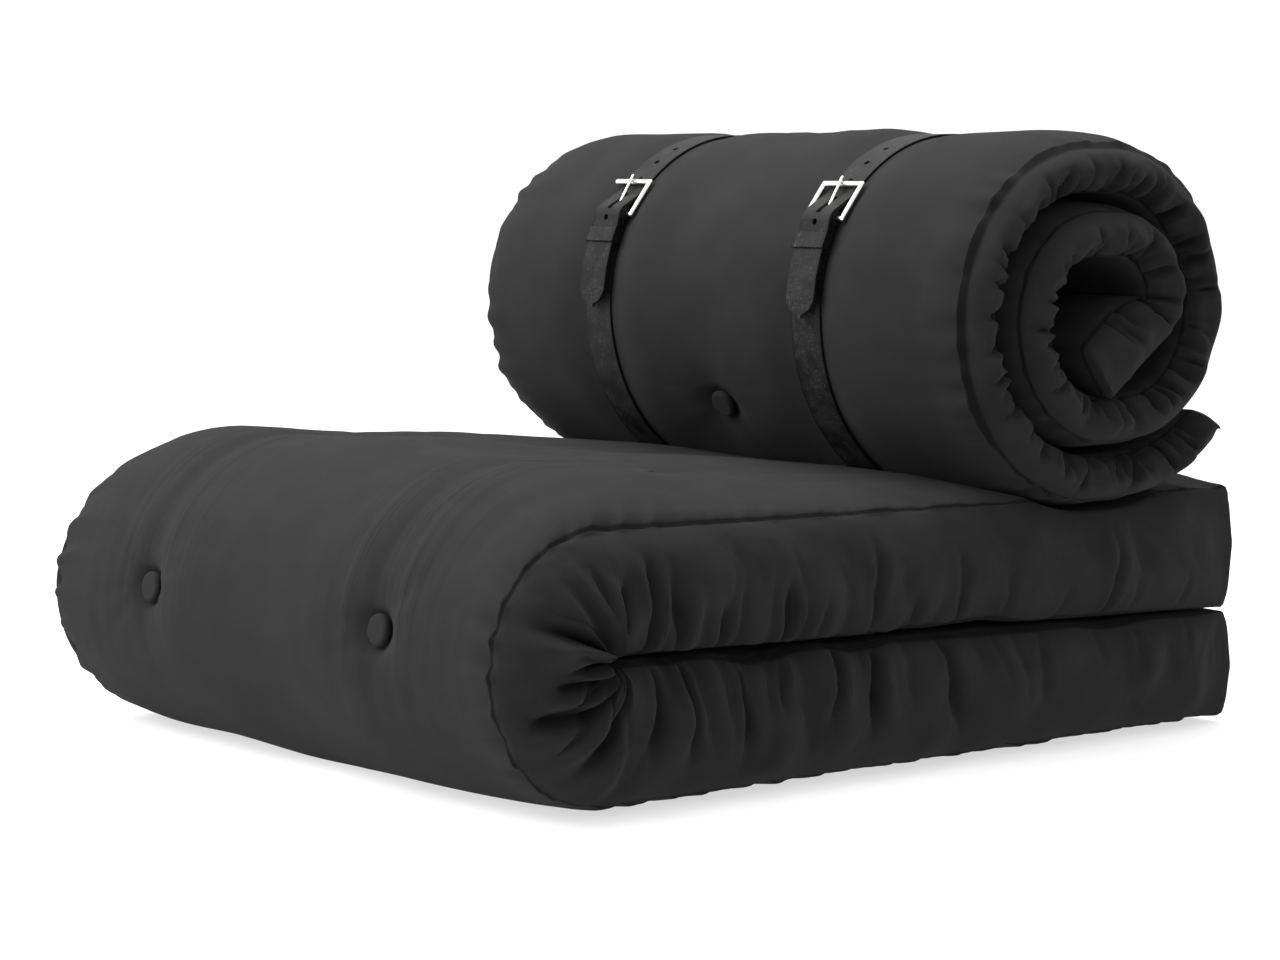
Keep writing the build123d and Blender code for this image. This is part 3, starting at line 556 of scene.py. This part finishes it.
    def tufts(self, points, normal, across, s):
        """Dimples of the front pair and of the pair on the open seat."""
        form = SeatForm(s)
        for way in (-1, 1):
            c = crown_share(np.array(way * TUFT_COLUMN / SEAMS))
            press(points, normal, (way * TUFT_COLUMN, *FRONT_TUFT), s.tuft, 0.023, 21 + way, across)
            t = np.linspace(2, 3, 400)
            y, z = form.outer(t, c)
            top = float(np.interp(FREE_ROW, y, z))
            press(points, normal, (way * TUFT_COLUMN, FREE_ROW, top), s.tuft, 0.034, 25 + way, across)

    def rest(self, points, context):
        """Flat on the floor underneath, and pressed down under the roll."""
        points[..., 2] = np.maximum(points[..., 2], FLOOR_GAP)
        form = RollForm(context.scene.futon_back)
        high = points[..., 2] > 0.16
        roof = form.underside(points[..., 1], points[..., 0]) - ROLL_GAP
        points[..., 2] = np.where(high, np.minimum(points[..., 2], roof), points[..., 2])

    def close(self, points):
        """Ends at the back: loops that shrink onto the middle of the end, a little swollen."""
        def cap(ring):
            middle = ring.copy()
            lows, highs = ring[..., 2].min(), ring[..., 2].max()
            middle[:, 2] = (lows + highs) / 2
            steps = ((0.97, 0.004), (0.86, 0.007), (0.6, 0.008), (0.3, 0.009), (0.0, 0.009))
            loops = []
            for keep, out in steps:
                loop = middle + (ring - middle) * np.array([1 - 0.02 * (1 - keep), 1.0, keep])
                loop[:, 1] += out
                loops.append(loop)
            return loops
        first = cap(points[0])[::-1]
        last = cap(points[-1])
        return np.concatenate([np.array(first), points, np.array(last)])


# Back futon

class RollForm:
    """Side view of the rolled futon: straight runs and arcs from the inner end to the tail."""

    def __init__(self, s):
        self.s = s
        self.left = np.array([s.front + ROLL_HALF, s.base + ROLL_HALF + FRONT_TURN])
        self.right = self.left + np.array([TOP_TURN + ROLL_FLAT + REAR_TURN, TOP_TURN - REAR_TURN])

    def moves(self):
        """Radius (none for straight) and size of each run, inner end first."""
        inner = [
            (0, 0.086), (0.032, 52.5), (0.066, 90), (0, ROLL_FLAT), (0.0830, 90), (0.0975, 90),
            (0, ROLL_FLAT), (0.1120, 90)]
        outer = [
            (REAR_TURN, 90), (0, ROLL_FLAT), (TOP_TURN, 90), (FRONT_TURN, 90), (0, ROLL_FLAT),
            (TAIL_TURN, 34), (0, 0.016)]
        return inner, outer

    def line(self, step):
        """Points, headings and lengths along the middle line, about a step apart."""
        inner, outer = self.moves()
        place, heading, run = np.zeros(2), radians(37.5), 0.0
        spots, ways, runs = [], [], []
        for number, (radius, amount) in enumerate(inner + outer):
            if number == len(inner):
                mark, start = place.copy(), run
            length = radius * radians(amount) if radius else amount
            part = np.linspace(0, length, max(int(length / step), 2), endpoint=False)
            bend = part / radius if radius else part * 0
            if radius:
                hub = place + radius * np.array([-sin(heading), cos(heading)])
                turn = heading + bend
                spot = hub + radius * np.stack([np.sin(turn), -np.cos(turn)], axis=1)
                heading_end = heading + radians(amount)
                place = hub + radius * np.array([sin(heading_end), -cos(heading_end)])
            else:
                spot = place + part[:, None] * np.array([cos(heading), sin(heading)])
                turn = heading + bend
                heading_end = heading
                place = place + amount * np.array([cos(heading), sin(heading)])
            spots.append(spot)
            ways.append(turn)
            runs.append(run + part)
            heading, run = heading_end, run + length
        spots.append(place[None])
        ways.append(np.array([heading]))
        runs.append(np.array([run]))
        spots = np.concatenate(spots) + (self.right - mark)
        return spots, np.concatenate(ways), np.concatenate(runs), start

    def puff(self, x):
        """Swell between the straps: nothing under a strap."""
        grip = sum(np.exp(-((np.abs(x - place) - 0.014).clip(0) / 0.030) ** 2) for place in STRAP_PLACES)
        return self.s.puff * (1 - np.clip(grip, 0, 1))

    def underside(self, y, x):
        """Height of the roll's and its tail's underside, high where the roll isn't overhead."""
        hub = np.array([self.left[0] + FRONT_TURN, self.left[1]])
        radius = FRONT_TURN + ROLL_HALF
        drop = radius ** 2 - (y - hub[0]) ** 2
        bowl = hub[1] - np.sqrt(np.maximum(drop, 0.0))
        bowl = np.where(y < hub[0] - radius, 9.0, bowl)
        flat_end = hub[0] + ROLL_FLAT
        tail = self.s.base + np.maximum((y - flat_end), 0) ** 2 / (2 * (TAIL_TURN + ROLL_HALF))
        return np.where(y > hub[0], np.where(y < flat_end, self.s.base, tail), bowl) - self.strap_dent(x)

    def strap_dent(self, x):
        """Room for the straps under the roll."""
        return STRAP_DENT * sum(ease(0.030, 0.019, np.abs(x - place)) for place in STRAP_PLACES)


class FUTON_OT_back(bpy.types.Operator):
    """Back futon as one closed surface rolled into a spiral"""

    bl_idname = "futon.back"
    bl_label = "Back futon"

    def execute(self, context):
        s = context.scene.futon_back
        form = RollForm(s)
        across, strip, inside = 96, 28, 36
        x, level, side, out = ring_plan(across, strip, inside, 0.0)
        spots, ways, runs, start = form.line(0.0034)
        total = runs[-1]
        outward = np.stack([np.sin(ways), -np.cos(ways)], axis=1)
        thick = s.inner + (s.outer - s.inner) * ease(0.04, 0.12, runs)
        shown = ease(start - 0.05, start + 0.06, runs) * ease(total, total - 0.20, runs)
        floor = ease(0.35, 0.75, -outward[:, 1]) * ease(start + 0.5, start + 0.6, runs)
        wide = SEAMS * x + ROLL_SHIFT
        puff = form.puff(wide)[None, :] * (shown * (1 - floor))[:, None] * (level == 0)
        shoulder = s.shoulder * np.abs(x) ** 12
        rise = 0.5 * s.outer - thick[:, None] * level - shoulder * (1 - level) + puff
        slip = s.slip * ease(start + 0.10, start - 0.20, runs)
        gx = (wide + side * s.bulge * out)[None, :] + slip[:, None]
        y = spots[:, :1] + outward[:, :1] * rise
        z = spots[:, 1:] + outward[:, 1:] * rise
        points = np.stack([gx, y, z], axis=2).copy()
        self.pleat(points, runs, level, side, outward, s)
        loose = np.full(len(runs), s.slack)
        run_cloth(points, strip_columns(across, strip, inside), loose, BACK_CAP)
        valley = self.crease(points, runs, level, side, outward)
        normal = -normals(points)
        self.drape(points, normal, runs, x, across, shown, form)
        self.tufts(points, normal, across, form)
        points = self.close(points, ways, spots)
        rows = len(points)
        lengths = np.interp(np.arange(rows), np.arange(len(runs)) + 4, runs)
        seam_at = seam_distance(x, level, side, 0.055)
        back = tube_object("back_futon", points, seam_at, lengths, valley, flip=True)
        back.data.materials.append(cloth_material("rolled_twill", context.scene.futon_look, 0.0))
        nodes = [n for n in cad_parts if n.startswith("back_") and "button" not in n]
        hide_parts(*nodes)
        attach(back, "back_roll")
        return {"FINISHED"}

    def pleat(self, points, runs, level, side, outward, s):
        """Gathers of the side strips, deepest on the inside of each turn."""
        for way, seed in ((1, 31), (-1, 37)):
            columns = np.where(side == way)[0]
            draw = np.random.default_rng(seed)
            starts = np.cumsum(draw.uniform(0.018, 0.040, 60))
            starts = starts[starts < runs[-1]]
            count = len(starts)
            depths = s.pleat * draw.uniform(0.35, 1.15, count)
            widths = draw.uniform(0.0045, 0.009, count)
            slants = draw.normal(0, 0.010, count)
            reach = draw.uniform(0.45, 0.95, count)
            place = np.repeat(runs[:, None], len(columns), axis=1)
            deep = np.repeat(level[columns][None, :], len(runs), axis=0)
            amount = gathers(place, deep, starts, widths, depths, slants, reach)
            lump = 0.0035 * ripple(place, deep, 0.07, 0.8, seed + 1) * np.sin(pi * deep)
            points[:, columns, 0] += way * (amount + lump)
            tuck = amount * 0.5 * deep
            points[:, columns, 1] += outward[:, :1] * -tuck
            points[:, columns, 2] += outward[:, 1:] * -tuck

    def crease(self, points, runs, level, side, outward):
        """Sharp pleats of the strips, drawn in towards the inside of each turn; gives each point's depth
        in a pleat as the mask of shade painted into the valleys.
        """
        valley = np.zeros(points.shape[:2])
        for way, seed in ((1, 61), (-1, 67)):
            draw = np.random.default_rng(seed)
            starts = 0.02 + np.cumsum(draw.uniform(0.016, 0.042, 90))
            starts = starts[starts < runs[-1] - 0.03]
            plan = [
                (start, draw.uniform(0.005, 0.013), draw.uniform(0.0026, 0.0042),
                 draw.uniform(0.55, 1.1), draw.normal(0, 0.008)) for start in starts]
            columns = np.where(side == way)[0]
            place = np.repeat(runs[:, None], len(columns), axis=1)
            deep = np.repeat(level[columns][None, :], len(runs), axis=0)
            amount = creases(place, deep, plan)
            points[:, columns, 0] += way * amount
            tuck = amount * 0.4 * deep
            points[:, columns, 1] -= outward[:, :1] * tuck
            points[:, columns, 2] -= outward[:, 1:] * tuck
            # mask of painted shade: the deeper in a pleat's valley, the darker the cloth
            valley[:, columns] = np.clip(-amount / VALLEY_SHADE_BACK, 0, 1)
        return valley

    def drape(self, points, normal, runs, x, across, shown, form):
        """Cloth of the outer panel: soft lumps and puckers along the seams."""
        run = runs[:, None]
        wide = (SEAMS * x[:across])[None, :]
        edge = SEAMS - np.abs(wide)
        grip = form.puff(wide + ROLL_SHIFT) / form.s.puff
        lumps = 0.0022 * ripple(wide, run, 0.20, 0.20, 41) * grip * shown[:, None]
        pucker = 0.0022 * ripple(run, edge, 0.030, 0.5, 43, 20) * np.exp(-edge / 0.022)
        amount = (lumps * ease(0.0, 0.05, edge) + pucker)[..., None]
        points[:, :across] += normal[:, :across] * amount

    def tufts(self, points, normal, across, form):
        """Dimples round the buttons on the outer turn."""
        hubs = (form.left + np.array([FRONT_TURN, 0]), form.right - np.array([REAR_TURN, 0]))
        for angle, hub, radius in zip(BACK_TUFTS, hubs, (FRONT_TURN, REAR_TURN)):
            reach = radius + ROLL_HALF
            spot = hub + reach * np.array([cos(radians(angle)), sin(radians(angle))])
            depth = form.s.tuft + form.s.puff
            press(points, normal, (ROLL_SHIFT, *spot), depth, 0.034, int(angle), across)

    def close(self, points, ways, spots):
        """Ends: loops that shrink onto the middle of the end, a little swollen."""
        def cap(ring, way, spot, sign):
            flat = np.array([0.0, cos(way), sin(way)]) * sign
            up = np.array([0.0, sin(way), -cos(way)])
            lift = ((ring - np.array([0.0, *spot])) @ up)[:, None] * up
            steps = ((0.97, 0.003), (0.88, 0.006), (0.5, 0.008), (0.0, 0.008))
            return [ring - lift * (1 - keep) + flat * out for keep, out in steps]
        first = cap(points[0], ways[0], spots[0], -1)[::-1]
        last = cap(points[-1], ways[-1], spots[-1], 1)
        return np.concatenate([np.array(first), points, np.array(last)])


# Materials

class Socket:
    """Shader socket with arithmetic, so that a pattern reads like a formula."""

    def __init__(self, tree, output):
        self.tree = tree
        self.output = output

    def math(self, kind, *others):
        """Math node of a kind on this value and others."""
        values = dict(enumerate((self,) + others))
        return add_node(self.tree, "ShaderNodeMath", 0, values, operation=kind)

    def __add__(self, other):
        return self.math("ADD", other)

    def __sub__(self, other):
        return self.math("SUBTRACT", other)

    def __rsub__(self, other):
        return self * -1.0 + other

    def __mul__(self, other):
        return self.math("MULTIPLY", other)

    __radd__ = __add__
    __rmul__ = __mul__

    def step(self, low, high):
        """Smooth step between two values."""
        values = {"Value": self, "From Min": low, "From Max": high}
        smooth = {"interpolation_type": "SMOOTHSTEP"}
        return add_node(self.tree, "ShaderNodeMapRange", "Result", values, **smooth)


def feed(tree, value, target):
    """Link a socket or set a plain value."""
    if isinstance(value, Socket):
        tree.links.new(value.output, target)
    else:
        target.default_value = value


def add_node(tree, kind, output, values, **settings):
    """Node of a kind: its settings first, then its sockets' values or links. Gives one output."""
    node = tree.nodes.new(kind)
    for key, value in settings.items():
        setattr(node, key, value)
    for key, value in values.items():
        feed(tree, value, node.inputs[key])
    return Socket(tree, node.outputs[output])


class Pattern:
    """A material's node tree with short names for the nodes that the patterns use."""

    def __init__(self, name):
        self.material = bpy.data.materials.new(name)
        self.material.use_nodes = True
        self.tree = self.material.node_tree
        self.surface = self.tree.nodes["Principled BSDF"]

    def add(self, kind, output, settings=None, **values):
        return add_node(self.tree, kind, output, values, **(settings or {}))

    def place(self):
        return self.add("ShaderNodeTexCoord", "Object")

    def axis(self, name):
        return self.add("ShaderNodeSeparateXYZ", name, Vector=self.place())

    def attribute(self, name):
        return self.add("ShaderNodeAttribute", "Fac", {"attribute_name": name})

    def noise(self, scale, detail=3.0, rough=0.55, vector=None):
        return self.add(
            "ShaderNodeTexNoise", "Fac", Vector=vector or self.place(), Scale=scale, Detail=detail,
            Roughness=rough)

    def stretch(self, x, y, z):
        return self.add("ShaderNodeMapping", "Vector", Vector=self.place(), Scale=(x, y, z))

    def mix(self, share_socket, first, second):
        """Mix of two colours; the colour sockets of a Mix node are its seventh and eighth."""
        first, second = (
            value if isinstance(value, Socket) else (*value, 1.0) for value in (first, second))
        values = {0: share_socket, 6: first, 7: second}
        return add_node(self.tree, "ShaderNodeMix", 2, values, data_type="RGBA")

    def bump(self, height, strength, distance):
        return self.add("ShaderNodeBump", "Normal", Height=height, Strength=strength, Distance=distance)

    def set(self, **inputs):
        for key, value in inputs.items():
            feed(self.tree, value, self.surface.inputs[key.replace("_", " ")])


def shade(colour, factor):
    """Colour made lighter or darker."""
    return tuple(min(part * factor, 1.0) for part in colour)


def cloth_material(name, look, drag):
    """Matte cotton twill: fine weave, mottling, a sewn line along the seams, painted shade in the
    pleats' valleys, drag lines by the tufts.
    """
    p = Pattern(name)
    colour = tuple(look.cloth)
    mottle = p.noise(26.0, 4.0)
    grain = p.noise(900.0, 2.0, 0.7)
    weave = p.add("ShaderNodeTexWave", "Fac", Vector=p.place(), Scale=520.0, Distortion=1.5, Detail=1.0)
    base = p.mix(mottle.step(0.3, 0.7), shade(colour, 0.90), shade(colour, 1.10))
    base = p.mix(grain.step(0.35, 0.75) * 0.35, base, shade(colour, 1.35))
    seam = p.attribute("seam")
    line = seam.step(0.0013, 0.0005)
    base = p.mix(line * 0.85, base, shade(colour, 0.20))
    # painted shade: the cloth darkened in the valleys of the pleats
    base = p.mix(p.attribute("valley") * 0.75, base, shade(colour, 0.35))
    height = grain * 0.3 + weave * 0.25 + mottle * 0.8 - line * 1.6
    if drag:
        run = p.attribute("run")
        off = (p.axis("X").math("ABSOLUTE") - TUFT_COLUMN).math("ABSOLUTE")
        pulled = off.step(0.11, 0.01) * run.step(0.90, 0.98) * run.step(1.45, 1.10)
        threads = p.noise(1.0, 2.0, 0.5, p.stretch(58.0, 1.6, 1.6)).step(0.42, 0.62)
        height = height + threads * pulled * drag
    p.set(Base_Color=base, Roughness=0.95, Normal=p.bump(height, 0.35, 0.0012))
    p.set(Specular_IOR_Level=0.05, Sheen_Weight=look.fuzz, Sheen_Roughness=0.6)
    return p.material


def button_material(name, look):
    """Cloth of the covered buttons, without the seam line."""
    p = Pattern(name)
    colour = tuple(look.cloth)
    grain = p.noise(900.0, 2.0, 0.7)
    p.set(Base_Color=p.mix(grain, shade(colour, 0.95), shade(colour, 1.3)), Roughness=0.95)
    p.set(Normal=p.bump(grain, 0.3, 0.001), Specular_IOR_Level=0.05, Sheen_Weight=look.fuzz)
    return p.material


def leather_material(name, look):
    """Worn dark leather: creased grain, painted shade along the edges and a few pale scuffs."""
    p = Pattern(name)
    colour = tuple(look.leather)
    blotch = p.noise(45.0, 5.0, 0.65)
    grain = p.add("ShaderNodeTexVoronoi", "Distance", Vector=p.place(), Scale=620.0)
    scuff = p.noise(170.0, 6.0, 0.75)
    fine = p.noise(760.0, 2.0, 0.6)
    base = p.mix(blotch.step(0.35, 0.68), shade(colour, 0.6), shade(colour, 1.5))
    base = p.mix(fine.step(0.52, 0.70) * blotch.step(0.40, 0.62) * 0.6, base, shade(colour, 7.0))
    base = p.mix(scuff.step(0.58, 0.72) * 0.6, base, shade(colour, 8.0))
    # painted shade: both edges of each strap darkened, standing in for the shadow where strap meets
    # cloth
    middle = (p.axis("X") - ROLL_SHIFT).math("ABSOLUTE")
    off = (middle - (STRAP_PLACES[1] - ROLL_SHIFT)).math("ABSOLUTE")
    base = p.mix(off.step(0.0172, 0.0195) * 0.8, base, shade(colour, 0.2))
    height = grain * 0.6 + scuff * 0.5
    rough = blotch.step(0.3, 0.7) * 0.18 + 0.52
    p.set(Base_Color=base, Roughness=rough, Normal=p.bump(height, 0.35, 0.0008))
    p.set(Specular_IOR_Level=0.10)
    return p.material


def metal_material(name, look):
    """Bright nickel plate, slightly worn."""
    p = Pattern(name)
    wear = p.noise(220.0, 4.0)
    p.set(Base_Color=(*look.metal, 1.0), Metallic=1.0, Roughness=wear.step(0.3, 0.8) * 0.18 + 0.14)
    return p.material


def dress(words, material):
    """Give a material to the CAD nodes whose names hold one of the words."""
    for node, thing in ((n, bpy.data.objects.get(n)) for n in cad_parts):
        if thing and any(word in node for word in words):
            thing.data.materials.clear()
            thing.data.materials.append(material)


def pointed_strap(node, place, material):
    """Strap's leather with the end of its free part drawn to a point, in the solid's place."""
    source = bpy.data.objects[node]
    mesh = source.data.copy()
    mesh.transform(source.matrix_world)
    points = np.empty(len(mesh.vertices) * 3)
    mesh.vertices.foreach_get("co", points)
    points = points.reshape(-1, 3)
    y, z = points[:, 1] - STRAP_HUB[0], points[:, 2] - STRAP_HUB[1]
    radius = np.hypot(y, z)
    turn = np.degrees(np.arctan2(z, y)) % 360
    off = points[:, 0] - place
    free = (radius > FREE_END[0]) & (turn > FREE_END[1]) & (turn < FREE_END[2])
    corner, corner_angle, kept, corner_back = TIP_SHOULDER
    nub_angle, nub_back = TIP_NUB
    shoulder = free & (np.abs(off) > corner) & (turn > corner_angle)
    nub = free & (turn > nub_angle)
    points[:, 0] = np.where(shoulder, place + off * kept, points[:, 0])
    turn = radians(1) * (turn - corner_back * shoulder - nub_back * nub)
    moved = shoulder | nub
    points[:, 1] = np.where(moved, STRAP_HUB[0] + radius * np.cos(turn), points[:, 1])
    points[:, 2] = np.where(moved, STRAP_HUB[1] + radius * np.sin(turn), points[:, 2])
    mesh.vertices.foreach_set("co", points.ravel())
    mesh.materials.clear()
    mesh.materials.append(material)
    mesh.update()
    strap = bpy.data.objects.new("leather_" + node, mesh)
    bpy.context.scene.collection.objects.link(strap)
    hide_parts(node)
    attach(strap, "back_roll")


class FUTON_OT_finish(bpy.types.Operator):
    """Cloth on the buttons, leather on the straps and nickel on the buckles"""

    bl_idname = "futon.finish"
    bl_label = "Buttons, straps and buckles"

    def execute(self, context):
        look = context.scene.futon_look
        dress(("button",), button_material("button_twill", look))
        leather = leather_material("strap_leather", look)
        dress(("keeper",), leather)
        for node, place in zip(("strap_left", "strap_right"), STRAP_PLACES):
            pointed_strap(node, place, leather)
        dress(("buckle",), metal_material("nickel", look))
        return {"FINISHED"}


# Stage

def area_light(name, place, aim, width, power):
    """Square light looking at a point."""
    data = bpy.data.lights.new(name, "AREA")
    data.size = width
    data.energy = power
    lamp = bpy.data.objects.new(name, data)
    lamp.location = place
    lamp.rotation_euler = (Vector(aim) - Vector(place)).to_track_quat("-Z", "Y").to_euler()
    bpy.context.scene.collection.objects.link(lamp)


class FUTON_OT_stage(bpy.types.Operator):
    """Pale floor, soft studio light and the photograph's camera"""

    bl_idname = "futon.stage"
    bl_label = "Stage"

    def execute(self, context):
        s = context.scene.futon_stage
        square = ((-1, -1), (1, -1), (1, 1), (-1, 1))
        corners = [(x * FLOOR_REACH, y * FLOOR_REACH, 0) for x, y in square]
        mesh = bpy.data.meshes.new("floor")
        mesh.from_pydata(corners, [], [(0, 1, 2, 3)])
        floor = bpy.data.objects.new("floor", mesh)
        p = Pattern("pale_floor")
        p.set(Base_Color=(FLOOR_GREY, FLOOR_GREY, FLOOR_GREY, 1.0), Roughness=0.9)
        p.set(Emission_Color=(1.0, 1.0, 1.0, 1.0), Emission_Strength=s.glow)
        mesh.materials.append(p.material)
        context.scene.collection.objects.link(floor)
        world = bpy.data.worlds.new("studio")
        world.use_nodes = True
        sky = world.node_tree.nodes["Background"]
        sky.inputs["Color"].default_value = (1, 1, 1, 1)
        sky.inputs["Strength"].default_value = s.fill
        context.scene.world = world
        context.scene.view_settings.view_transform = "Standard"
        for name, place, aim, width, power in LIGHTS:
            area_light(name, place, aim, width, s.key * power)
        self.camera(context, s)
        return {"FINISHED"}

    def camera(self, context, s):
        """Camera at the photograph's angle."""
        data = bpy.data.cameras.new("camera")
        data.lens = s.lens
        data.sensor_width = 36.0
        data.clip_end = 100.0
        camera = bpy.data.objects.new("camera", data)
        back = Vector((
            sin(s.azimuth) * cos(s.elevation), -cos(s.azimuth) * cos(s.elevation), sin(s.elevation)))
        camera.location = Vector(s.aim) + back * s.distance
        camera.rotation_euler = (-back).to_track_quat("-Z", "Y").to_euler()
        context.scene.collection.objects.link(camera)
        context.scene.camera = camera


class FUTON_PT_panel(bpy.types.Panel):
    """Steps that dress the futon"""

    bl_label = "Futon Lounge Seat"
    bl_idname = "FUTON_PT_panel"
    bl_space_type = "VIEW_3D"
    bl_region_type = "UI"
    bl_category = "Futon"

    def draw(self, context):
        for step in STEPS:
            self.layout.operator(step.bl_idname)


STEPS = (FUTON_OT_seat, FUTON_OT_back, FUTON_OT_finish, FUTON_OT_stage)
SETTINGS = (
    ("futon_seat", FutonSeatSettings),
    ("futon_back", FutonBackSettings),
    ("futon_look", FutonLookSettings),
    ("futon_stage", FutonStageSettings),
)


def register():
    for name, group in SETTINGS:
        bpy.utils.register_class(group)
        setattr(bpy.types.Scene, name, PointerProperty(type=group))
    for step in STEPS + (FUTON_PT_panel,):
        bpy.utils.register_class(step)


def unregister():
    for step in reversed(STEPS + (FUTON_PT_panel,)):
        bpy.utils.unregister_class(step)
    for name, group in reversed(SETTINGS):
        delattr(bpy.types.Scene, name)
        bpy.utils.unregister_class(group)


def main():
    """Dress the frame step by step."""
    register()
    bpy.ops.futon.seat()
    bpy.ops.futon.back()
    bpy.ops.futon.finish()
    bpy.ops.futon.stage()


if __name__ == "__main__":
    main()
